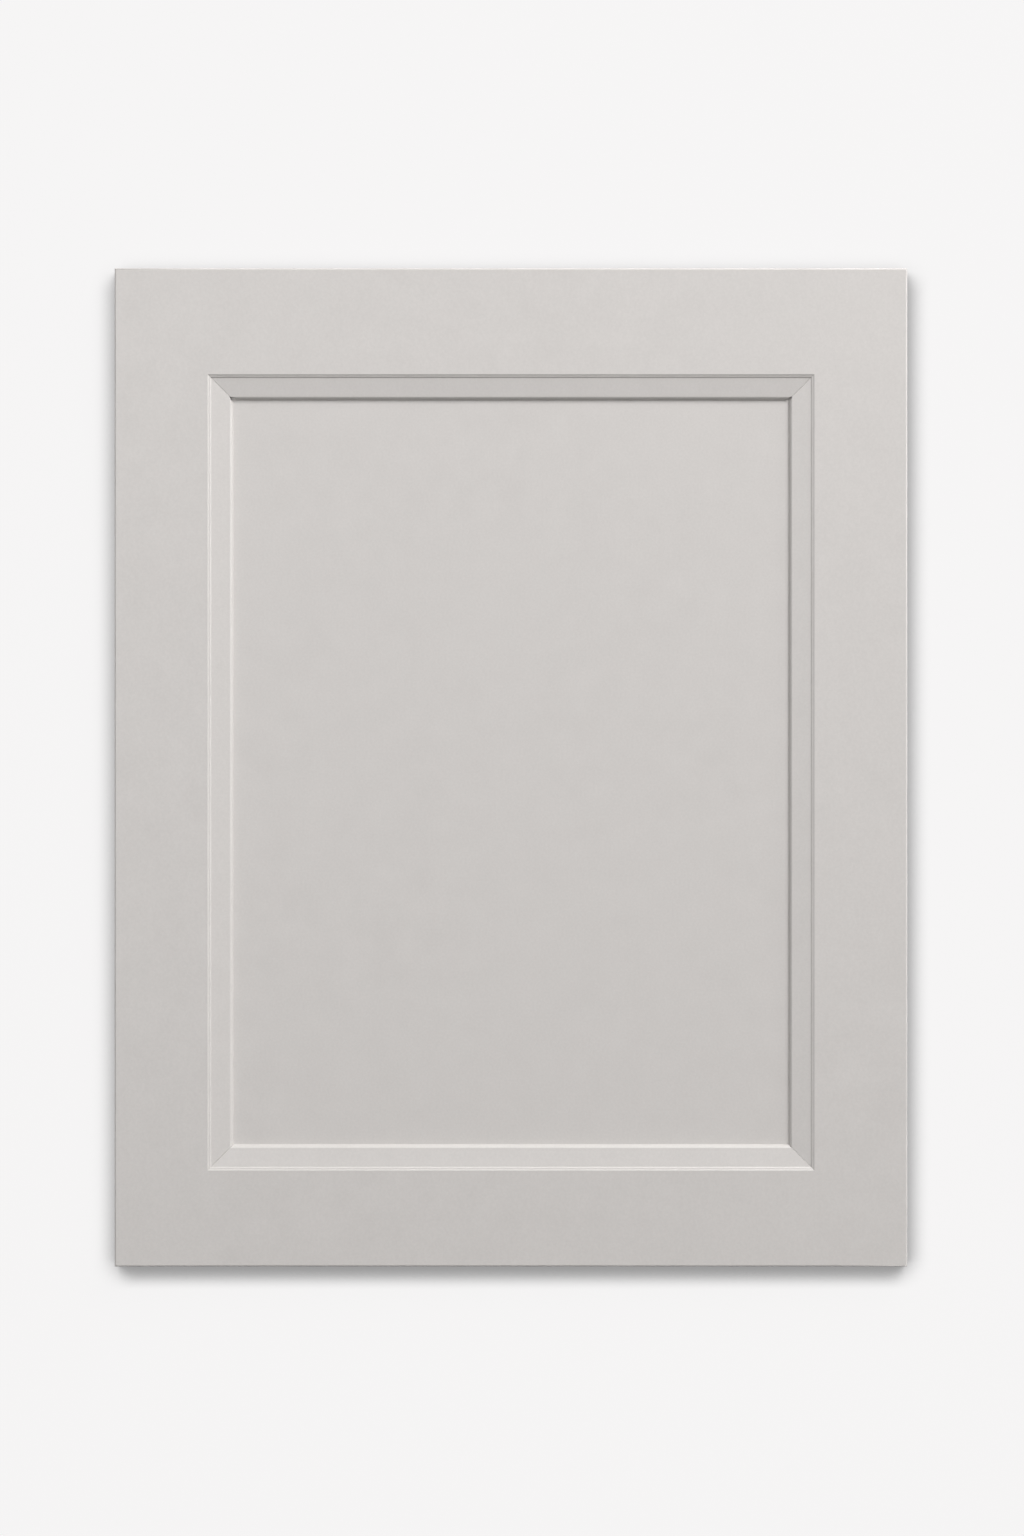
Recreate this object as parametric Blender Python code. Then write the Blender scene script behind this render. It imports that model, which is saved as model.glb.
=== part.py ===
"""Kitchen cabinet door: a painted frame-and-panel front for a 600 mm wide cabinet.

Two grooved stiles, two tongued rails, a flat panel held in the grooves, and four
mitred moulding strips that line the opening. Everything is in metres. The front
faces -Y, the width runs along X and the height along +Z. The origin is at the
middle of the bottom edge, halfway through the thickness.
"""

import math

import bmesh
import bpy
from mathutils import Matrix, Vector

# Overall door and frame members
DOOR_WIDTH = 0.597
DOOR_HEIGHT = 0.752
FRAME_THICKNESS = 0.019
STILE_WIDTH = 0.070
TOP_RAIL_WIDTH = 0.080
BOTTOM_RAIL_WIDTH = 0.0725
FRONT_ARRIS_RADIUS = 0.0015
BACK_ARRIS_RADIUS = 0.0008
ARRIS_SEGMENTS = 4

# Panel, the groove that holds it, and the rail tongues that fill the groove's ends
PANEL_THICKNESS = 0.006
PANEL_BACK_RECESS = 0.0065
PANEL_FACE_CLEARANCE = 0.0003
PANEL_SIDE_CLEARANCE = 0.0010
PANEL_TOP_CLEARANCE = 0.0010
GROOVE_DEPTH = 0.012
TONGUE_END_CLEARANCE = 0.0005
JOINT_GAP = 0.0003

# Inner moulding: widths are measured from the frame's inner edge
MOULDING_WIDTH = 0.019
OUTER_STEP_WIDTH = 0.0009
OUTER_STEP_DROP = 0.0006
LEDGE_WIDTH = 0.0006
LEDGE_DROP = 0.00005
INNER_STEP_WIDTH = 0.0012
INNER_STEP_DROP = 0.0009
STEP_TURN = math.radians(24)
LIP_WIDTH = 0.0025
LIP_DROP = 0.0024
LIP_TURN = math.radians(44)
FOOT_HEIGHT = 0.0003
MITRE_GAP = 0.0003
PROFILE_SEGMENTS = 6

# Boring for two concealed cup hinges, in the back of the left stile
HINGE_CUP_DIAMETER = 0.035
HINGE_CUP_DEPTH = 0.0125
HINGE_CUP_FROM_EDGE = 0.0225
HINGE_CUP_FROM_END = 0.100
HINGE_CUP_SEGMENTS = 60
PILOT_DIAMETER = 0.003
PILOT_DEPTH = 0.010
PILOT_SPACING = 0.045
PILOT_PAST_CUP = 0.0095
PILOT_SEGMENTS = 16

# Warm light grey satin lacquer
LACQUER_COLOUR = (0.62, 0.60, 0.58, 1.0)
LACQUER_ROUGHNESS = 0.45

# Places that follow from the sizes above
FRONT_Y = -FRAME_THICKNESS / 2
BACK_Y = FRAME_THICKNESS / 2
PANEL_BACK_Y = BACK_Y - PANEL_BACK_RECESS
PANEL_FRONT_Y = PANEL_BACK_Y - PANEL_THICKNESS
GROOVE_FRONT_Y = PANEL_FRONT_Y - PANEL_FACE_CLEARANCE
GROOVE_BACK_Y = PANEL_BACK_Y + PANEL_FACE_CLEARANCE
OPENING_WIDTH = DOOR_WIDTH - 2 * STILE_WIDTH
OPENING_HEIGHT = DOOR_HEIGHT - TOP_RAIL_WIDTH - BOTTOM_RAIL_WIDTH
OPENING_MIDDLE_Z = BOTTOM_RAIL_WIDTH + OPENING_HEIGHT / 2
CUTTER_PAST = 0.010


def clear_scene():
    for obj in list(bpy.data.objects):
        bpy.data.objects.remove(obj, do_unlink=True)


def lacquer(name):
    """The satin paint that covers every piece."""
    material = bpy.data.materials.new(name + "_lacquer")
    material.use_nodes = True
    shader = material.node_tree.nodes["Principled BSDF"]
    shader.inputs["Base Color"].default_value = LACQUER_COLOUR
    shader.inputs["Roughness"].default_value = LACQUER_ROUGHNESS
    shader.inputs["Metallic"].default_value = 0.0
    material.diffuse_color = LACQUER_COLOUR
    return material


def new_object(name, bm, location=(0, 0, 0)):
    """Closes off a bmesh as a named object, smooth over its curves and sharp at its arrises."""
    bmesh.ops.recalc_face_normals(bm, faces=bm.faces)
    mesh = bpy.data.meshes.new(name)
    bm.to_mesh(mesh)
    bm.free()
    mesh.shade_smooth()
    mesh.set_sharp_from_angle(angle=math.radians(30))
    obj = bpy.data.objects.new(name, mesh)
    obj.location = location
    bpy.context.scene.collection.objects.link(obj)
    return obj


def finished_piece(name, bm, location=(0, 0, 0)):
    obj = new_object(name, bm, location)
    obj.data.materials.append(lacquer(name))
    return obj


def box(low, high):
    """A bmesh box between two opposite corners."""
    low, high = Vector(low), Vector(high)
    bm = bmesh.new()
    bmesh.ops.create_cube(bm, size=1.0)
    bmesh.ops.scale(bm, vec=high - low, verts=bm.verts)
    bmesh.ops.translate(bm, vec=(low + high) / 2, verts=bm.verts)
    return bm


def along(bm, axis, value):
    """The vertices of a box that lie in the plane where one coordinate has this value."""
    return {vert for vert in bm.verts if abs(vert.co[axis] - value) < 1e-7}


def soften(bm, planes, face_y, radius):
    """Rounds the edges that one broad face, at face_y, shares with the named side planes."""
    face = along(bm, 1, face_y)
    chosen = []
    for axis, value in planes:
        corner = face & along(bm, axis, value)
        chosen += [e for e in bm.edges if e.verts[0] in corner and e.verts[1] in corner]
    bmesh.ops.bevel(
        bm,
        geom=chosen,
        offset=radius,
        offset_type="OFFSET",
        segments=ARRIS_SEGMENTS,
        profile=0.5,
        affect="EDGES",
        clamp_overlap=True,
        material=-1,
    )


def soften_both_faces(bm, planes):
    soften(bm, planes, FRONT_Y, FRONT_ARRIS_RADIUS)
    soften(bm, planes, BACK_Y, BACK_ARRIS_RADIUS)


def carve(piece, cutters):
    """Takes all the cutters away from the piece in one cut, and keeps them as wire helpers."""
    group = bpy.data.collections.new(piece.name + "_cutters")
    group.hide_render = True
    bpy.context.scene.collection.children.link(group)
    for cutter in cutters:
        bpy.context.scene.collection.objects.unlink(cutter)
        group.objects.link(cutter)
        cutter.parent = piece
        cutter.hide_render = True
        cutter.display_type = "WIRE"
    boolean = piece.modifiers.new("carve", "BOOLEAN")
    boolean.operation = "DIFFERENCE"
    boolean.solver = "EXACT"
    boolean.operand_type = "COLLECTION"
    boolean.collection = group


def box_cutter(name, low, high):
    return new_object(name, box(low, high))


def bore_cutter(name, centre, diameter, depth, segments):
    """A flat-bottomed hole, square into the back face at centre = (x, z)."""
    bm = bmesh.new()
    bmesh.ops.create_cone(
        bm,
        cap_ends=True,
        segments=segments,
        radius1=diameter / 2,
        radius2=diameter / 2,
        depth=depth + CUTTER_PAST,
        matrix=Matrix.Rotation(math.radians(90), 4, "X"),
    )
    middle_y = BACK_Y + (CUTTER_PAST - depth) / 2
    return new_object(name, bm, (centre[0], middle_y, centre[1]))


def hinge_seat_cutters(label, height):
    """One hinge cup and its two screw pilots, beside the left stile's outer edge at -X."""
    cup_x = -STILE_WIDTH / 2 + HINGE_CUP_FROM_EDGE
    pilot_x = cup_x + PILOT_PAST_CUP
    cup = bore_cutter(
        f"hinge_cup_{label}_cutter",
        (cup_x, height),
        HINGE_CUP_DIAMETER,
        HINGE_CUP_DEPTH,
        HINGE_CUP_SEGMENTS,
    )
    pilots = [
        bore_cutter(
            f"hinge_pilot_{label}_{end}_cutter",
            (pilot_x, height + step * PILOT_SPACING / 2),
            PILOT_DIAMETER,
            PILOT_DEPTH,
            PILOT_SEGMENTS,
        )
        for end, step in (("low", -1), ("high", 1))
    ]
    return [cup, *pilots]


def make_stile(name, side, hinge_heights=None):
    """One upright, full height. side is -1 for the left stile and +1 for the right.

    hinge_heights maps a label to the height of each hinge cup bored in its back.
    """
    half = STILE_WIDTH / 2
    outer, inner = side * half, -side * half
    bm = box((-half, FRONT_Y, 0), (half, BACK_Y, DOOR_HEIGHT))
    soften_both_faces(bm, [(0, outer), (2, 0), (2, DOOR_HEIGHT)])
    stile = finished_piece(name, bm, (side * (DOOR_WIDTH / 2 - half), 0, 0))

    floor = inner + side * GROOVE_DEPTH
    mouth = inner - side * CUTTER_PAST
    groove = box_cutter(
        name + "_groove_cutter",
        (min(floor, mouth), GROOVE_FRONT_Y, -CUTTER_PAST),
        (max(floor, mouth), GROOVE_BACK_Y, DOOR_HEIGHT + CUTTER_PAST),
    )
    cutters = [groove]
    for label, height in (hinge_heights or {}).items():
        cutters += hinge_seat_cutters(label, height)
    carve(stile, cutters)
    return stile


def make_rail(name, side, width):
    """One cross piece with a stub tongue at each end. side is +1 for the top rail, -1 for the bottom.

    The rail's own frame has z = 0 at its inner edge and its outer edge at side * width.
    """
    shoulder = OPENING_WIDTH / 2 - JOINT_GAP
    end = OPENING_WIDTH / 2 + GROOVE_DEPTH - TONGUE_END_CLEARANCE
    outer = side * width
    bm = box((-end, FRONT_Y, min(0, outer)), (end, BACK_Y, max(0, outer)))
    soften_both_faces(bm, [(2, outer)])
    inner_z = OPENING_MIDDLE_Z + side * OPENING_HEIGHT / 2
    rail = finished_piece(name, bm, (0, 0, inner_z))

    floor, mouth = side * GROOVE_DEPTH, -side * CUTTER_PAST
    cutters = [
        box_cutter(
            name + "_groove_cutter",
            (-end - CUTTER_PAST, GROOVE_FRONT_Y, min(floor, mouth)),
            (end + CUTTER_PAST, GROOVE_BACK_Y, max(floor, mouth)),
        )
    ]
    low = min(0, outer) - CUTTER_PAST
    high = max(0, outer) + CUTTER_PAST
    ends = {
        "left": (-end - CUTTER_PAST, -shoulder),
        "right": (shoulder, end + CUTTER_PAST),
    }
    cheeks = {
        "front": (FRONT_Y - CUTTER_PAST, GROOVE_FRONT_Y + JOINT_GAP),
        "back": (GROOVE_BACK_Y - JOINT_GAP, BACK_Y + CUTTER_PAST),
    }
    for hand, x in ends.items():
        for face, y in cheeks.items():
            cutters.append(
                box_cutter(
                    f"{name}_{hand}_{face}_cheek_cutter",
                    (x[0], y[0], low),
                    (x[1], y[1], high),
                )
            )
    carve(rail, cutters)
    return rail


def make_panel():
    """The flat panel. It rests on the floor of the bottom rail's groove."""
    half = OPENING_WIDTH / 2 + GROOVE_DEPTH - PANEL_SIDE_CLEARANCE
    low = -OPENING_HEIGHT / 2 - GROOVE_DEPTH + JOINT_GAP
    high = OPENING_HEIGHT / 2 + GROOVE_DEPTH - PANEL_TOP_CLEARANCE
    bm = box((-half, PANEL_FRONT_Y, low), (half, PANEL_BACK_Y, high))
    return finished_piece("centre_panel", bm, (0, 0, OPENING_MIDDLE_Z))


def arc(start, end, turn):
    """Points after start on the circular arc to end that turns clockwise by this angle."""
    start, end = Vector(start), Vector(end)
    chord = end - start
    radius = chord.length / (2 * math.sin(turn / 2))
    across = Vector((chord.y, -chord.x)).normalized()
    centre = (start + end) / 2 - across * radius * math.cos(turn / 2)
    spoke = start - centre
    points = []
    for i in range(1, PROFILE_SEGMENTS + 1):
        spun = Matrix.Rotation(turn * i / PROFILE_SEGMENTS, 2) @ spoke
        points.append(centre + spun)
    return points


def moulding_profile():
    """The strip's section as (distance from the frame's edge, depth below the front face).

    Round the section: outer side, a rounded step down from the frame's face, a
    narrow ledge, a second rounded step, the shallow bevel, a convex lip, a short
    upright foot, and the flat seat on the panel.
    """
    seat = PANEL_FRONT_Y - FRONT_Y - JOINT_GAP
    top_edge = (JOINT_GAP, 0)
    ledge_start = (OUTER_STEP_WIDTH, OUTER_STEP_DROP)
    ledge_end = (ledge_start[0] + LEDGE_WIDTH, ledge_start[1] + LEDGE_DROP)
    bevel_start = (ledge_end[0] + INNER_STEP_WIDTH, ledge_end[1] + INNER_STEP_DROP)
    lip_end = (MOULDING_WIDTH, seat - FOOT_HEIGHT)
    lip_start = (MOULDING_WIDTH - LIP_WIDTH, lip_end[1] - LIP_DROP)
    return [
        (JOINT_GAP, seat),
        top_edge,
        *arc(top_edge, ledge_start, STEP_TURN),
        ledge_end,
        *arc(ledge_end, bevel_start, STEP_TURN),
        lip_start,
        *arc(lip_start, lip_end, LIP_TURN),
        (MOULDING_WIDTH, seat),
    ]


def make_moulding(name, length, half_across, turn):
    """One strip, modelled along the top of the opening and turned about Y to its own side.

    length is the opening's length on that side, and half_across is how far the
    frame's edge lies from the opening's middle. Each end is sheared to its mitre.
    """
    bm = bmesh.new()
    section = [bm.verts.new((0, depth, half_across - out)) for out, depth in moulding_profile()]
    face = bm.faces.new(section)
    grown = bmesh.ops.extrude_face_region(bm, geom=[face])
    far = {item for item in grown["geom"] if isinstance(item, bmesh.types.BMVert)}
    trim = MITRE_GAP / 2 * math.sqrt(2)
    for vert in bm.verts:
        out = half_across - vert.co.z
        reach = length / 2 - out - trim
        vert.co.x = reach if vert in far else -reach
    strip = finished_piece(name, bm, (0, FRONT_Y, OPENING_MIDDLE_Z))
    strip.rotation_euler = (0, turn, 0)
    return strip


def build_door():
    door = bpy.data.objects.new("cabinet_door", None)
    bpy.context.scene.collection.objects.link(door)

    hinge_heights = {
        "lower": HINGE_CUP_FROM_END,
        "upper": DOOR_HEIGHT - HINGE_CUP_FROM_END,
    }
    pieces = [
        make_stile("left_stile", -1, hinge_heights),
        make_stile("right_stile", 1),
        make_rail("top_rail", 1, TOP_RAIL_WIDTH),
        make_rail("bottom_rail", -1, BOTTOM_RAIL_WIDTH),
        make_panel(),
    ]

    across, down = OPENING_WIDTH / 2, OPENING_HEIGHT / 2
    quarter = math.pi / 2
    pieces += [
        make_moulding("top_moulding", OPENING_WIDTH, down, 0),
        make_moulding("right_moulding", OPENING_HEIGHT, across, quarter),
        make_moulding("bottom_moulding", OPENING_WIDTH, down, 2 * quarter),
        make_moulding("left_moulding", OPENING_HEIGHT, across, -quarter),
    ]
    for piece in pieces:
        piece.parent = door


clear_scene()
build_door()
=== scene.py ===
"""Looks of the kitchen cabinet door: fine edges, mitred mouldings, sprayed paint, camera and light.

The front faces -Y, the width runs along X and the height along +Z, in metres.
"""

import math

import bmesh
import bpy
from mathutils import Matrix, Vector


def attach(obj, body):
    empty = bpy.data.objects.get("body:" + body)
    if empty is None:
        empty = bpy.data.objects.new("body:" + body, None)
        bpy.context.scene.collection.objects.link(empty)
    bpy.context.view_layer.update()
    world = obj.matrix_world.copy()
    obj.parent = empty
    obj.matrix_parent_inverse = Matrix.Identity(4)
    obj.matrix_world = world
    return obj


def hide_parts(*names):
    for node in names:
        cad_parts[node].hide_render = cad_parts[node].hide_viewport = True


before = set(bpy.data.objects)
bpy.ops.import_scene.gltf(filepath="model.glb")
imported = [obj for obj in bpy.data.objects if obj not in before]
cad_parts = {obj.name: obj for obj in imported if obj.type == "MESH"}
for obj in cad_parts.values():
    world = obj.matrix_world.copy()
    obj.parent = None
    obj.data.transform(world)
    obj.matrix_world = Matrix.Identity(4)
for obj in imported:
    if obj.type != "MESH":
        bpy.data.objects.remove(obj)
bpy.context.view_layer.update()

MM = 0.001
SAME = 1e-7
QUARTER_TURN = math.pi / 2

# The door, its frame members and their eased outer edges
WIDTH = 597 * MM
HEIGHT = 752 * MM
THICKNESS = 19 * MM
STILE = 70 * MM
TOP_RAIL = 80 * MM
BOTTOM_RAIL = 72.5 * MM
FRONT_ARRIS = 1.5 * MM
BACK_ARRIS = 0.8 * MM
ARRIS_STEPS = 6
JOINT_EASE = 0.15 * MM
SHARP_TURN = math.radians(35)

# The panel and the groove round it
PANEL = 6 * MM
BACK_RECESS = 6.5 * MM
GROOVE = 12 * MM
TONGUE = 11.5 * MM
PANEL_PLAY = 1 * MM
PANEL_EASE = 0.3 * MM
SMALL_EASE_STEPS = 2

# The moulding's section, from the frame's edge inwards
MOULDING = 19 * MM
OUTER_STEP = 0.9 * MM
OUTER_STEP_DROP = 0.60 * MM
LEDGE = 0.6 * MM
LEDGE_DROP = 0.05 * MM
INNER_STEP = 1.2 * MM
INNER_STEP_DROP = 0.90 * MM
STEP_TURN = math.radians(24)
LIP = 2.5 * MM
LIP_DROP = 2.85 * MM
LIP_TURN = math.radians(44)
FOOT = 0.15 * MM
CURVE_STEPS = 8
SECTION_DIGITS = 9

# The mitres: each strip's end is eased, which leaves a fine V between two strips. Each pair
# is a share of the ease's length from the end, and the share of the sink reached there.
MITRE_EASE = 0.35 * MM
MITRE_SINK = 0.28 * MM
STEPS_SINK = 0.08 * MM
MITRE_SLOPE = ((0.0, 1.0), (0.4, 0.25), (1.0, 0.0))

# Open mitres: how far the lips stop short at a strip's two ends, seen with the lip below
TOP_LIP_SHORT = (2.4 * MM, 1.5 * MM)
RIGHT_LIP_SHORT = (0.9 * MM, 0.4 * MM)
BOTTOM_LIP_SHORT = (0.0, 0.0)
LEFT_LIP_SHORT = (0.0, 1.6 * MM)

# Hinge boring in the back of the left stile, with the marks of the bits' points
CUP_RADIUS = 17.5 * MM
CUP_DEPTH = 12.5 * MM
CUP_CHAMFER = 0.25 * MM
CUP_POINT_RADIUS = 2.0 * MM
CUP_POINT_DEPTH = 1.2 * MM
CUP_FROM_EDGE = 22.5 * MM
CUP_FROM_END = 100 * MM
CUP_STEPS = 96
PILOT_RADIUS = 1.5 * MM
PILOT_DEPTH = 10 * MM
PILOT_POINT_DEPTH = 1 * MM
PILOT_SPACING = 45 * MM
PILOT_PAST_CUP = 9.5 * MM
PILOT_STEPS = 24
BIT_PAST_BACK = 5 * MM

# Lacquer: the sizes of its clouds, their slow drift, the dust and the orange peel
CLOUD_SIZE = 26 * MM
DRIFT_SIZE = 110 * MM
DUST_SIZE = 1.7 * MM
PEEL_SIZE = 2.8 * MM
PEEL_HEIGHT = 0.04 * MM
PEEL_STRENGTH = 0.25
THIN_FILM, THICK_FILM = 0.25, 0.75
THIN_SHEEN, THICK_SHEEN = 0.40, 0.34
DUST_LOW, DUST_HIGH = 0.3, 0.7
DUST_DARK, DUST_LIGHT = 0.975, 1.025
LACQUER_IOR = 1.5

# Bare fibreboard
FIBRE_SIZE = 0.8 * MM
FIBRE_HEIGHT = 0.2 * MM
FIBRE_STRENGTH = 0.5
BOARD_ROUGHNESS = 0.9
BOARD_IOR = 1.4

# A colour Mix node's two colour inputs and its colour output
MIX_A, MIX_B, MIX_RESULT = 6, 7, 2

# Places that follow
FRONT_Y = -THICKNESS / 2
BACK_Y = THICKNESS / 2
PANEL_BACK_Y = BACK_Y - BACK_RECESS
PANEL_FRONT_Y = PANEL_BACK_Y - PANEL
OPENING_X = WIDTH - 2 * STILE
OPENING_Z = HEIGHT - TOP_RAIL - BOTTOM_RAIL
MIDDLE_Z = BOTTOM_RAIL + OPENING_Z / 2
RECESS = PANEL_FRONT_Y - FRONT_Y

# Camera: the photograph is 1536 pixels high, and the door is 793 pixels wide on it
PHOTO_HEIGHT = 1536
DOOR_ON_PHOTO = 793
LENS_MM = 85
SENSOR_MM = 36
PIXEL = WIDTH / DOOR_ON_PHOTO
CAMERA_FROM_FRONT = PHOTO_HEIGHT * PIXEL * LENS_MM / SENSOR_MM
CAMERA_X = 1.0 * PIXEL
CAMERA_Z = HEIGHT / 2 - 0.6 * PIXEL

# Wall and floor, and how much of what is seen of them is their even tone
WALL_GAP = 1.0 * MM
FLOOR_Z = -0.30
STAGE_SIZE = 8.0
EVEN_SHARE = 0.97

# Their painted shade beside the door, which darkens the even tone where it stands close: its reach,
# the side it is open to, the open share at which it is deepest, and its tone there. Fewer samples
# would flatten it.
CONTACT_REACH = 20.7 * MM
CONTACT_OPEN_SIDE = Vector((-0.08, -0.84, 0.53)).normalized()
CONTACT_SHUT = 0.43
CONTACT_TONE = 0.36
CONTACT_SAMPLES = 16

# Light: the room as it lights the door and as it is seen, and the softboxes,
# each with its name, place, side length and watts
ROOM_LIGHT = 0.09
ROOM_SEEN = 0.90
SOFTBOXES = (
    ("key_softbox", (2.35, -2.67, 3.89), 2.3, 268.0),
    ("side_softbox", (4.59, -1.19, 1.97), 2.6, 66.0),
    ("fill_softbox", (-2.34, -4.40, 0.80), 2.6, 69.0),
    ("back_softbox", (-1.5, 4.7, 1.6), 2.6, 145.0),
)


def linear(hex_colour):
    """Scene-linear colour from an sRGB hex value."""
    channels = [int(hex_colour[i : i + 2], 16) / 255 for i in (0, 2, 4)]
    return (*(c / 12.92 if c <= 0.04045 else ((c + 0.055) / 1.055) ** 2.4 for c in channels), 1.0)


def add_node(tree, kind, inputs=None, **settings):
    """Adds one shader node. An input may be a value or another node's output socket."""
    node = tree.nodes.new("ShaderNode" + kind)
    for name, value in settings.items():
        setattr(node, name, value)
    for name, value in (inputs or {}).items():
        if isinstance(value, bpy.types.NodeSocket):
            tree.links.new(value, node.inputs[name])
        else:
            node.inputs[name].default_value = value
    return node


def new_material(name):
    """A material with nothing in it yet, not even its output."""
    material = bpy.data.materials.new(name)
    material.use_nodes = True
    material.node_tree.nodes.clear()
    return material, material.node_tree


def sprayed_lacquer(name, shift):
    """Satin acrylic lacquer, sprayed on primed fibreboard.

    The eye sees an even warm light grey with a broad soft sheen. Close to, the film
    clouds a little over 10 to 40 mm, where more or less of it fell, and its face has
    the faint orange peel and fine dust of spraying. The peel is drawn about twice as
    coarse as the real one so that it still shows. The shift gives each member of the
    door its own clouds.
    """
    material, tree = new_material(name)
    objects = add_node(tree, "TexCoord").outputs["Object"]
    spot = add_node(tree, "Mapping", {"Vector": objects, "Location": shift}).outputs["Vector"]
    clouds = add_node(
        tree,
        "TexNoise",
        {"Vector": spot, "Scale": 1 / CLOUD_SIZE, "Detail": 3.0, "Roughness": 0.6},
    ).outputs["Fac"]
    drift = add_node(
        tree, "TexNoise", {"Vector": spot, "Scale": 1 / DRIFT_SIZE, "Detail": 1.0}
    ).outputs["Fac"]
    dust = add_node(
        tree,
        "TexNoise",
        {"Vector": spot, "Scale": 1 / DUST_SIZE, "Detail": 2.0, "Roughness": 0.6},
    ).outputs["Fac"]
    peel = add_node(
        tree, "TexNoise", {"Vector": spot, "Scale": 1 / PEEL_SIZE, "Detail": 1.5}
    ).outputs["Fac"]

    film = add_node(
        tree,
        "MapRange",
        {"Value": clouds, "From Min": THIN_FILM, "From Max": THICK_FILM},
    ).outputs["Result"]
    clouded = add_node(
        tree,
        "Mix",
        {"Factor": film, MIX_A: linear("CBC7C4"), MIX_B: linear("D2CECB")},
        data_type="RGBA",
    ).outputs[MIX_RESULT]
    warmed = add_node(
        tree,
        "Mix",
        {"Factor": drift, MIX_A: clouded, MIX_B: linear("D0CCC9")},
        data_type="RGBA",
    ).outputs[MIX_RESULT]
    specks = add_node(
        tree,
        "MapRange",
        {
            "Value": dust,
            "From Min": DUST_LOW,
            "From Max": DUST_HIGH,
            "To Min": DUST_DARK,
            "To Max": DUST_LIGHT,
        },
    ).outputs["Result"]
    grained = add_node(
        tree, "VectorMath", {0: warmed, "Scale": specks}, operation="SCALE"
    ).outputs["Vector"]
    sheen = add_node(
        tree,
        "MapRange",
        {
            "Value": clouds,
            "From Min": THIN_FILM,
            "From Max": THICK_FILM,
            "To Min": THIN_SHEEN,
            "To Max": THICK_SHEEN,
        },
    ).outputs["Result"]
    bump = add_node(
        tree, "Bump", {"Height": peel, "Strength": PEEL_STRENGTH, "Distance": PEEL_HEIGHT}
    ).outputs["Normal"]
    shader = add_node(
        tree,
        "BsdfPrincipled",
        {
            "Base Color": grained,
            "Roughness": sheen,
            "IOR": LACQUER_IOR,
            "Metallic": 0.0,
            "Normal": bump,
        },
    )
    add_node(tree, "OutputMaterial", {"Surface": shader.outputs["BSDF"]})
    return material


def bored_fibreboard():
    """Medium density fibreboard, cut by a boring bit after the door was painted.

    The eye sees the bare board: matt tan, finely flecked with short fibres.
    """
    material, tree = new_material("bored_fibreboard")
    objects = add_node(tree, "TexCoord").outputs["Object"]
    fibres = add_node(
        tree,
        "TexNoise",
        {"Vector": objects, "Scale": 1 / FIBRE_SIZE, "Detail": 4.0, "Roughness": 0.7},
    ).outputs["Fac"]
    tone = add_node(
        tree,
        "Mix",
        {"Factor": fibres, MIX_A: linear("8F6F4C"), MIX_B: linear("C9A77C")},
        data_type="RGBA",
    ).outputs[MIX_RESULT]
    bump = add_node(
        tree, "Bump", {"Height": fibres, "Strength": FIBRE_STRENGTH, "Distance": FIBRE_HEIGHT}
    ).outputs["Normal"]
    shader = add_node(
        tree,
        "BsdfPrincipled",
        {
            "Base Color": tone,
            "Roughness": BOARD_ROUGHNESS,
            "IOR": BOARD_IOR,
            "Metallic": 0.0,
            "Normal": bump,
        },
    )
    add_node(tree, "OutputMaterial", {"Surface": shader.outputs["BSDF"]})
    return material


def is_looked_at(tree):
    """1 for the rays that show a background, straight, mirrored or through glass, and 0 for light."""
    path = add_node(tree, "LightPath").outputs
    direct = add_node(
        tree, "Math", {0: path["Is Camera Ray"], 1: path["Is Glossy Ray"]}, operation="MAXIMUM"
    ).outputs["Value"]
    return add_node(
        tree, "Math", {0: direct, 1: path["Is Transmission Ray"]}, operation="MAXIMUM"
    ).outputs["Value"]


def stage_material(name, colour):
    """Matt pale board, clear from behind, so that it hides no view of the door's back.

    Looked at, most of its tone is the even colour, with a painted shade where the door
    stands close, and the rest is the board as the lamps light it, with their shadows.
    """
    material, tree = new_material(name)
    matt = add_node(tree, "BsdfDiffuse", {"Color": linear(colour)}).outputs["BSDF"]
    open_side = add_node(
        tree, "CombineXYZ", dict(zip("XYZ", CONTACT_OPEN_SIDE))
    ).outputs["Vector"]
    open_share = add_node(
        tree,
        "AmbientOcclusion",
        {"Distance": CONTACT_REACH, "Normal": open_side},
        samples=CONTACT_SAMPLES,
    ).outputs["AO"]
    # Painted shade: the even tone darkens where the door hides much of the open side
    painted_contact_shade = add_node(
        tree,
        "MapRange",
        {"Value": open_share, "From Min": CONTACT_SHUT, "To Min": CONTACT_TONE},
        interpolation_type="SMOOTHSTEP",
    ).outputs["Result"]
    even = add_node(
        tree, "Emission", {"Color": linear(colour), "Strength": painted_contact_shade}
    ).outputs["Emission"]
    share = add_node(
        tree, "MapRange", {"Value": is_looked_at(tree), "To Min": 0.0, "To Max": EVEN_SHARE}
    ).outputs["Result"]
    shown = add_node(tree, "MixShader", {"Fac": share, 1: matt, 2: even}).outputs["Shader"]
    clear = add_node(tree, "BsdfTransparent").outputs["BSDF"]
    behind = add_node(tree, "NewGeometry").outputs["Backfacing"]
    mixed = add_node(tree, "MixShader", {"Fac": behind, 1: shown, 2: clear})
    add_node(tree, "OutputMaterial", {"Surface": mixed.outputs["Shader"]})
    return material


def box(low, high):
    """A bmesh box between two opposite corners."""
    low, high = Vector(low), Vector(high)
    bm = bmesh.new()
    bmesh.ops.create_cube(bm, size=1.0)
    bmesh.ops.scale(bm, vec=high - low, verts=bm.verts)
    bmesh.ops.translate(bm, vec=(low + high) / 2, verts=bm.verts)
    return bm


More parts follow.
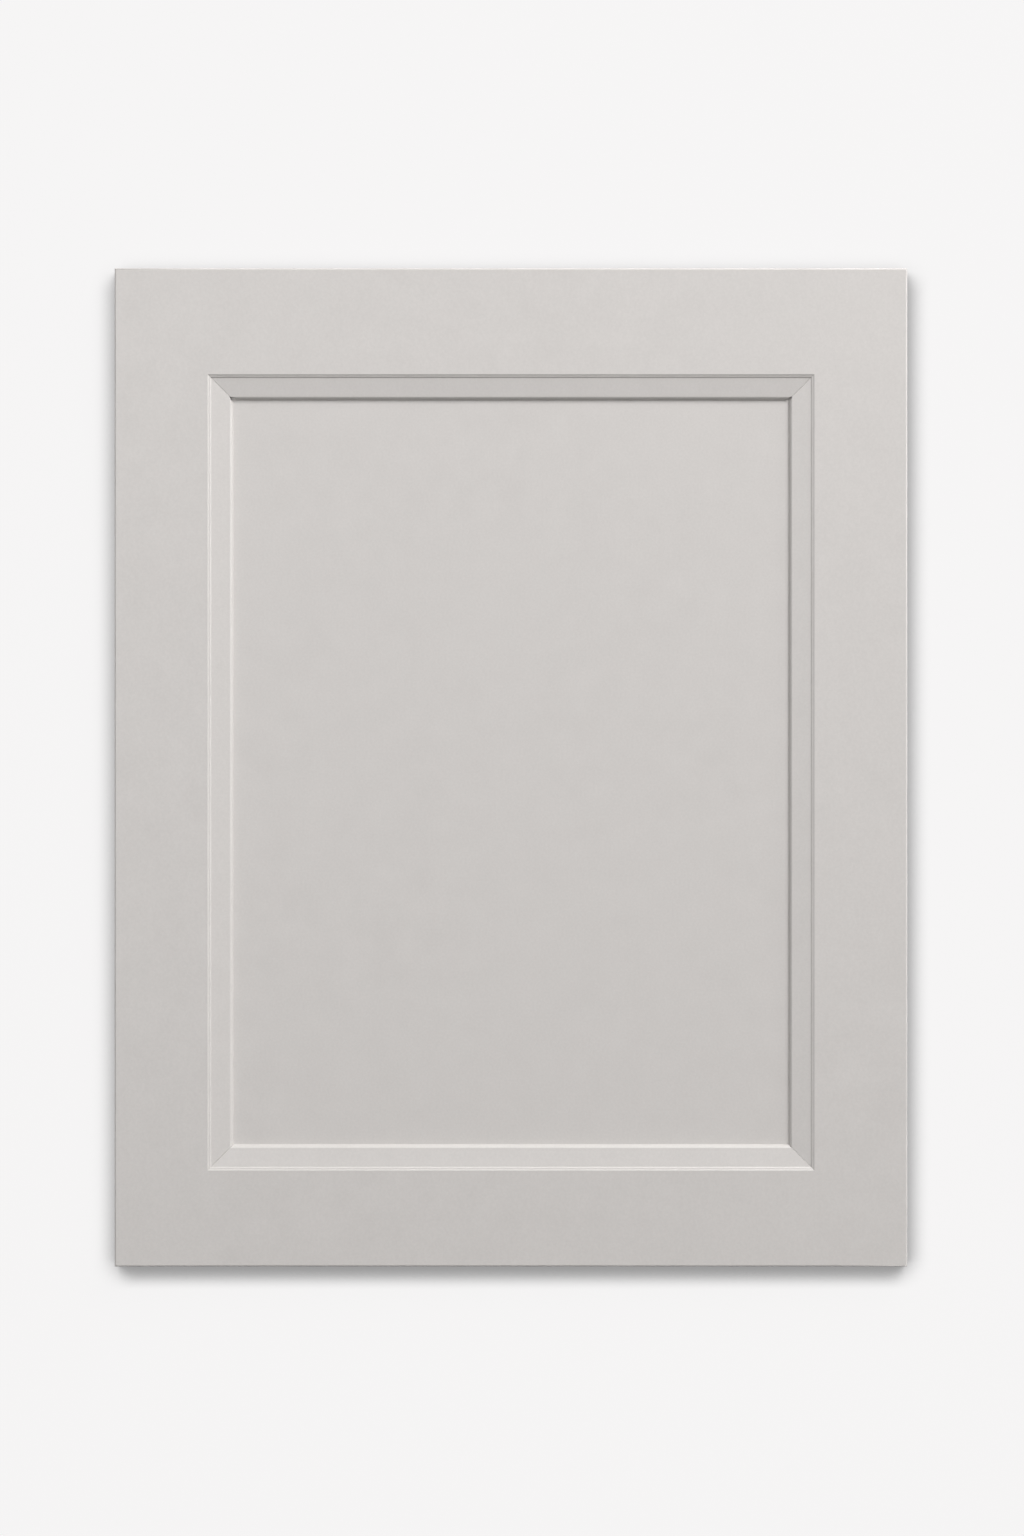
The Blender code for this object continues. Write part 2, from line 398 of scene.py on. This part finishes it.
def ease(bm, face_y, planes, radius, steps):
    """Rounds the edges that the broad face at face_y shares with the named side planes."""

    def lies(vert, axis, value):
        return abs(vert.co[axis] - value) < SAME

    edges = [
        edge
        for edge in bm.edges
        if all(lies(v, 1, face_y) for v in edge.verts)
        and any(all(lies(v, axis, value) for v in edge.verts) for axis, value in planes)
    ]
    bmesh.ops.bevel(
        bm,
        geom=edges,
        offset=radius,
        offset_type="OFFSET",
        segments=steps,
        profile=0.5,
        affect="EDGES",
        clamp_overlap=True,
        material=-1,
    )


def slice_at(bm, axis, value):
    """Cuts every face along one plane, so that the cells beside it can be worked alone."""
    normal, place = Vector(), Vector()
    normal[axis], place[axis] = 1, value
    bmesh.ops.bisect_plane(
        bm, geom=bm.verts[:] + bm.edges[:] + bm.faces[:], dist=SAME, plane_co=place, plane_no=normal
    )


def cut_groove(bm, across, run, edge, floor):
    """Ploughs the panel's groove the whole length of an edge.

    across is the axis from the edge into the wood and run the axis along it: the
    strip between the groove's cheeks goes, with the cell it leaves at each end,
    and the two open ends are bridged into the groove's three walls.
    """
    for axis, value in ((1, PANEL_FRONT_Y), (1, PANEL_BACK_Y), (across, floor)):
        slice_at(bm, axis, value)
    low, high = min(edge, floor), max(edge, floor)
    doomed = []
    for face in bm.faces:
        middle = face.calc_center_median()
        between = PANEL_FRONT_Y < middle.y < PANEL_BACK_Y
        if between and low - SAME <= middle[across] <= high + SAME:
            doomed.append(face)
    bmesh.ops.delete(bm, geom=doomed, context="FACES")
    rims = [
        rim
        for rim in bm.edges
        if rim.is_boundary and abs(rim.verts[0].co[run] - rim.verts[1].co[run]) < SAME
    ]
    bmesh.ops.bridge_loops(bm, edges=rims)


def keep_crisp(piece):
    """Marks the hard edges and keeps the flats flat between them."""
    piece.data.set_sharp_from_angle(angle=SHARP_TURN)
    flats = piece.modifiers.new("keep_flats_flat", "WEIGHTED_NORMAL")
    flats.keep_sharp = True


def finished(node, bm, paint):
    """Makes a painted piece of a bmesh, in place of a CAD node and riding with it."""
    bmesh.ops.recalc_face_normals(bm, faces=bm.faces)
    mesh = bpy.data.meshes.new("painted_" + node)
    bm.to_mesh(mesh)
    bm.free()
    mesh.shade_smooth()
    mesh.materials.append(paint)
    piece = bpy.data.objects.new("painted_" + node, mesh)
    bpy.context.scene.collection.objects.link(piece)
    keep_crisp(piece)
    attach(piece, "root")
    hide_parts(node)
    return piece


def bore(stile, rings, centre, steps, material):
    """Bores one round hole in the back: rings are its (radius, depth) from mouth to middle."""
    bm = bmesh.new()
    line = [bm.verts.new((radius, BACK_Y - depth, 0)) for radius, depth in rings]
    edges = [bm.edges.new(pair) for pair in zip(line, line[1:])]
    bmesh.ops.spin(
        bm,
        geom=line + edges,
        cent=(0, 0, 0),
        axis=(0, 1, 0),
        angle=math.tau,
        steps=steps,
        use_merge=True,
    )
    bmesh.ops.remove_doubles(bm, verts=bm.verts, dist=SAME)
    bmesh.ops.translate(bm, vec=(centre[0], 0, centre[1]), verts=bm.verts)
    bmesh.ops.recalc_face_normals(bm, faces=bm.faces)
    mesh = bpy.data.meshes.new("boring_bit")
    bm.to_mesh(mesh)
    bm.free()
    mesh.materials.append(material)
    bit = bpy.data.objects.new("boring_bit", mesh)
    bpy.context.scene.collection.objects.link(bit)
    cut = stile.modifiers.new("bore", "BOOLEAN")
    cut.operation, cut.solver, cut.object = "DIFFERENCE", "EXACT", bit
    cut.material_mode = "TRANSFER"
    return bit


def settle(piece):
    """Applies a piece's modifiers, so that its mesh is what shows."""
    depsgraph = bpy.context.evaluated_depsgraph_get()
    mesh = bpy.data.meshes.new_from_object(piece.evaluated_get(depsgraph), depsgraph=depsgraph)
    piece.modifiers.clear()
    piece.data = mesh


def bore_for_hinges(stile, board):
    """Bores both hinge cups, each with two screw pilots, in the back of the left stile."""
    cup = [
        (0, -BIT_PAST_BACK),
        (CUP_RADIUS + CUP_CHAMFER, -BIT_PAST_BACK),
        (CUP_RADIUS + CUP_CHAMFER, 0),
        (CUP_RADIUS, CUP_CHAMFER),
        (CUP_RADIUS, CUP_DEPTH),
        (CUP_POINT_RADIUS, CUP_DEPTH),
        (0, CUP_DEPTH + CUP_POINT_DEPTH),
    ]
    pilot = [
        (0, -BIT_PAST_BACK),
        (PILOT_RADIUS, -BIT_PAST_BACK),
        (PILOT_RADIUS, PILOT_DEPTH - PILOT_POINT_DEPTH),
        (0, PILOT_DEPTH),
    ]
    stile.modifiers.clear()
    cup_x = CUP_FROM_EDGE - WIDTH / 2
    bits = []
    for height in (CUP_FROM_END, HEIGHT - CUP_FROM_END):
        bits.append(bore(stile, cup, (cup_x, height), CUP_STEPS, board))
        for half in (-PILOT_SPACING / 2, PILOT_SPACING / 2):
            spot = (cup_x + PILOT_PAST_CUP, height + half)
            bits.append(bore(stile, pilot, spot, PILOT_STEPS, board))
    settle(stile)
    for bit in bits:
        bpy.data.objects.remove(bit)
    keep_crisp(stile)


def make_stile(node, side, paint):
    """One upright, full height. side is -1 on the left, where the hinges go, and +1 on the right."""
    outer = side * WIDTH / 2
    inner = side * OPENING_X / 2
    bm = box((min(outer, inner), FRONT_Y, 0), (max(outer, inner), BACK_Y, HEIGHT))
    rims = [(0, outer), (2, 0), (2, HEIGHT)]
    ease(bm, FRONT_Y, rims, FRONT_ARRIS, ARRIS_STEPS)
    ease(bm, BACK_Y, rims, BACK_ARRIS, ARRIS_STEPS)
    cut_groove(bm, 0, 2, inner, inner + side * GROOVE)
    return finished(node, bm, paint)


def make_rail(node, side, width, paint):
    """One cross piece with a stub tongue at each end. side is +1 at the top and -1 at the bottom."""
    inner = MIDDLE_Z + side * OPENING_Z / 2
    outer = inner + side * width
    half = OPENING_X / 2
    bm = box((-half, FRONT_Y, min(inner, outer)), (half, BACK_Y, max(inner, outer)))
    ease(bm, FRONT_Y, [(2, outer)], FRONT_ARRIS, ARRIS_STEPS)
    ease(bm, BACK_Y, [(2, outer)], BACK_ARRIS, ARRIS_STEPS)
    ease(bm, BACK_Y, [(0, -half), (0, half)], JOINT_EASE, SMALL_EASE_STEPS)
    cut_groove(bm, 2, 0, inner, inner + side * GROOVE)
    ends = [
        face
        for face in bm.faces
        if abs(abs(face.calc_center_median().x) - half) < SAME
        and PANEL_FRONT_Y < face.calc_center_median().y < PANEL_BACK_Y
    ]
    grown = bmesh.ops.extrude_discrete_faces(bm, faces=ends)
    for face in grown["faces"]:
        hand = math.copysign(1, face.calc_center_median().x)
        bmesh.ops.translate(bm, vec=(hand * TONGUE, 0, 0), verts=face.verts)
    finished(node, bm, paint)


def make_panel(paint):
    """The flat panel, held in the groove on all four sides."""
    half_x = OPENING_X / 2 + GROOVE - PANEL_PLAY
    half_z = OPENING_Z / 2 + GROOVE - PANEL_PLAY
    bm = box(
        (-half_x, PANEL_FRONT_Y, MIDDLE_Z - half_z), (half_x, PANEL_BACK_Y, MIDDLE_Z + half_z)
    )
    bmesh.ops.bevel(
        bm,
        geom=bm.edges[:],
        offset=PANEL_EASE,
        offset_type="OFFSET",
        segments=SMALL_EASE_STEPS,
        profile=0.5,
        affect="EDGES",
        material=-1,
    )
    finished("centre_panel", bm, paint)


def curve(start, end, turn):
    """Points after start on the circular arc to end that turns clockwise by this angle."""
    start, end = Vector(start), Vector(end)
    chord = end - start
    radius = chord.length / (2 * math.sin(turn / 2))
    across = Vector((chord.y, -chord.x)).normalized()
    centre = (start + end) / 2 - across * radius * math.cos(turn / 2)
    spoke = start - centre
    return [
        centre + Matrix.Rotation(turn * i / CURVE_STEPS, 2) @ spoke
        for i in range(1, CURVE_STEPS + 1)
    ]


def moulding_face():
    """(distance from the frame's edge, depth below the front face) along the strip's face."""
    step_end = (OUTER_STEP, OUTER_STEP_DROP)
    ledge_end = (step_end[0] + LEDGE, step_end[1] + LEDGE_DROP)
    bevel_start = (ledge_end[0] + INNER_STEP, ledge_end[1] + INNER_STEP_DROP)
    lip_end = (MOULDING, RECESS - FOOT)
    lip_start = (MOULDING - LIP, lip_end[1] - LIP_DROP)
    shown = [
        (0, 0),
        *curve((0, 0), step_end, STEP_TURN),
        ledge_end,
        *curve(ledge_end, bevel_start, STEP_TURN),
        lip_start,
        *curve(lip_start, lip_end, LIP_TURN),
    ]
    return [Vector(point) for point in shown]


def make_moulding(node, length, half_across, turn, lip_short, paint):
    """One mitred strip, made along the top of the opening and turned about Y to its own side.

    The section is drawn out in steps. At each mitre the last step sinks a little, so
    that two strips meet in a fine V. The lip stops short of them by lip_short.
    """
    shown = moulding_face()
    section = shown + [Vector((MOULDING, RECESS)), Vector((0, RECESS))]
    tangents = [
        (shown[min(i + 1, len(shown) - 1)] - shown[max(i - 1, 0)]).normalized()
        for i in range(len(shown))
    ]
    inwards = [Vector((-t.y, t.x)) for t in tangents] + [Vector((0, 0))] * 2
    ends = [(share * MITRE_EASE, sunk) for share, sunk in MITRE_SLOPE]
    rows = [(-1, *end) for end in ends] + [(1, *end) for end in reversed(ends)]

    def section_place(vert):
        return tuple(round(c, SECTION_DIGITS) for c in vert.co.yz)

    bm = bmesh.new()
    row = [bm.verts.new((0, p.y, p.x)) for p in section]
    grown = [bm.faces.new(row)]
    index = {section_place(vert): i for i, vert in enumerate(row)}
    for step in range(1, len(rows)):
        made = bmesh.ops.extrude_face_region(bm, geom=grown)["geom"]
        if step > 1:
            bmesh.ops.delete(bm, geom=grown, context="FACES_ONLY")
        grown = [item for item in made if isinstance(item, bmesh.types.BMFace)]
        verts = [item for item in made if isinstance(item, bmesh.types.BMVert)]
        bmesh.ops.translate(bm, vec=(1, 0, 0), verts=verts)
    for vert in bm.verts:
        i = index[section_place(vert)]
        hand, back, sunk = rows[round(vert.co.x)]
        on_steps = section[i].x < OUTER_STEP + LEDGE + INNER_STEP - SAME
        place = section[i] + inwards[i] * (STEPS_SINK if on_steps else MITRE_SINK) * sunk
        gap = lip_short[0 if hand < 0 else 1] if section[i].x > MOULDING - LIP else 0
        reach = length / 2 - place.x - back - gap
        vert.co = Vector((hand * reach, FRONT_Y + place.y, half_across - place.x))
    bmesh.ops.rotate(
        bm, verts=bm.verts, cent=(0, 0, 0), matrix=Matrix.Rotation(turn, 3, "Y")
    )
    bmesh.ops.translate(bm, vec=(0, 0, MIDDLE_Z), verts=bm.verts)
    finished(node, bm, paint)


def flat_board(name, matrix, material):
    """A flat part of the stage."""
    bm = bmesh.new()
    bmesh.ops.create_grid(bm, x_segments=1, y_segments=1, size=STAGE_SIZE / 2, matrix=matrix)
    mesh = bpy.data.meshes.new(name)
    bm.to_mesh(mesh)
    bm.free()
    mesh.materials.append(material)
    board = bpy.data.objects.new(name, mesh)
    bpy.context.scene.collection.objects.link(board)
    board.visible_shadow = False
    return board


def soft_lamp(name, place, side, watts, target):
    """A square softbox that faces the target."""
    data = bpy.data.lights.new(name, "AREA")
    data.shape = "SQUARE"
    data.size = side
    data.energy = watts
    lamp = bpy.data.objects.new(name, data)
    lamp.location = place
    aim = Vector(target) - Vector(place)
    lamp.rotation_euler = aim.to_track_quat("-Z", "Y").to_euler()
    bpy.context.scene.collection.objects.link(lamp)


# Door
frame_paint = sprayed_lacquer("frame_satin_lacquer", (0.0, 0.0, 0.0))
panel_paint = sprayed_lacquer("panel_satin_lacquer", (0.37, 0.11, 0.23))
moulding_paint = sprayed_lacquer("moulding_satin_lacquer", (0.71, 0.29, 0.53))

bore_for_hinges(make_stile("left_stile", -1, frame_paint), bored_fibreboard())
make_stile("right_stile", 1, frame_paint)
make_rail("top_rail", 1, TOP_RAIL, frame_paint)
make_rail("bottom_rail", -1, BOTTOM_RAIL, frame_paint)
make_panel(panel_paint)

for node, length, half_across, turn, lip_short in (
    ("top_moulding", OPENING_X, OPENING_Z / 2, 0, TOP_LIP_SHORT),
    ("right_moulding", OPENING_Z, OPENING_X / 2, QUARTER_TURN, RIGHT_LIP_SHORT),
    ("bottom_moulding", OPENING_X, OPENING_Z / 2, 2 * QUARTER_TURN, BOTTOM_LIP_SHORT),
    ("left_moulding", OPENING_Z, OPENING_X / 2, -QUARTER_TURN, LEFT_LIP_SHORT),
):
    make_moulding(node, length, half_across, turn, lip_short, moulding_paint)

# Stage
wall_matrix = Matrix.Translation((0, BACK_Y + WALL_GAP, 0)) @ Matrix.Rotation(QUARTER_TURN, 4, "X")
flat_board("wall", wall_matrix, stage_material("pale_wall", "F6F5F5"))
floor_matrix = Matrix.Translation((0, 0, FLOOR_Z))
floor = flat_board("floor", floor_matrix, stage_material("pale_floor", "F2F1F0"))
floor.visible_diffuse = False

# Light
world = bpy.data.worlds.new("soft_room")
world.use_nodes = True
world.node_tree.nodes.clear()
level = add_node(
    world.node_tree,
    "MapRange",
    {"Value": is_looked_at(world.node_tree), "To Min": ROOM_LIGHT, "To Max": ROOM_SEEN},
).outputs["Result"]
room = add_node(world.node_tree, "Background", {"Color": linear("FFFFFF"), "Strength": level})
add_node(world.node_tree, "OutputWorld", {"Surface": room.outputs["Background"]})
bpy.context.scene.world = world
for name, place, side, watts in SOFTBOXES:
    soft_lamp(name, place, side, watts, (0, 0, HEIGHT / 2))

# Camera
camera_data = bpy.data.cameras.new("camera")
camera_data.lens = LENS_MM
camera_data.sensor_width = SENSOR_MM
camera = bpy.data.objects.new("camera", camera_data)
camera.location = (CAMERA_X, FRONT_Y - CAMERA_FROM_FRONT, CAMERA_Z)
camera.rotation_euler = (QUARTER_TURN, 0, 0)
bpy.context.scene.collection.objects.link(camera)
bpy.context.scene.camera = camera

bpy.context.scene.view_settings.view_transform = "Standard"
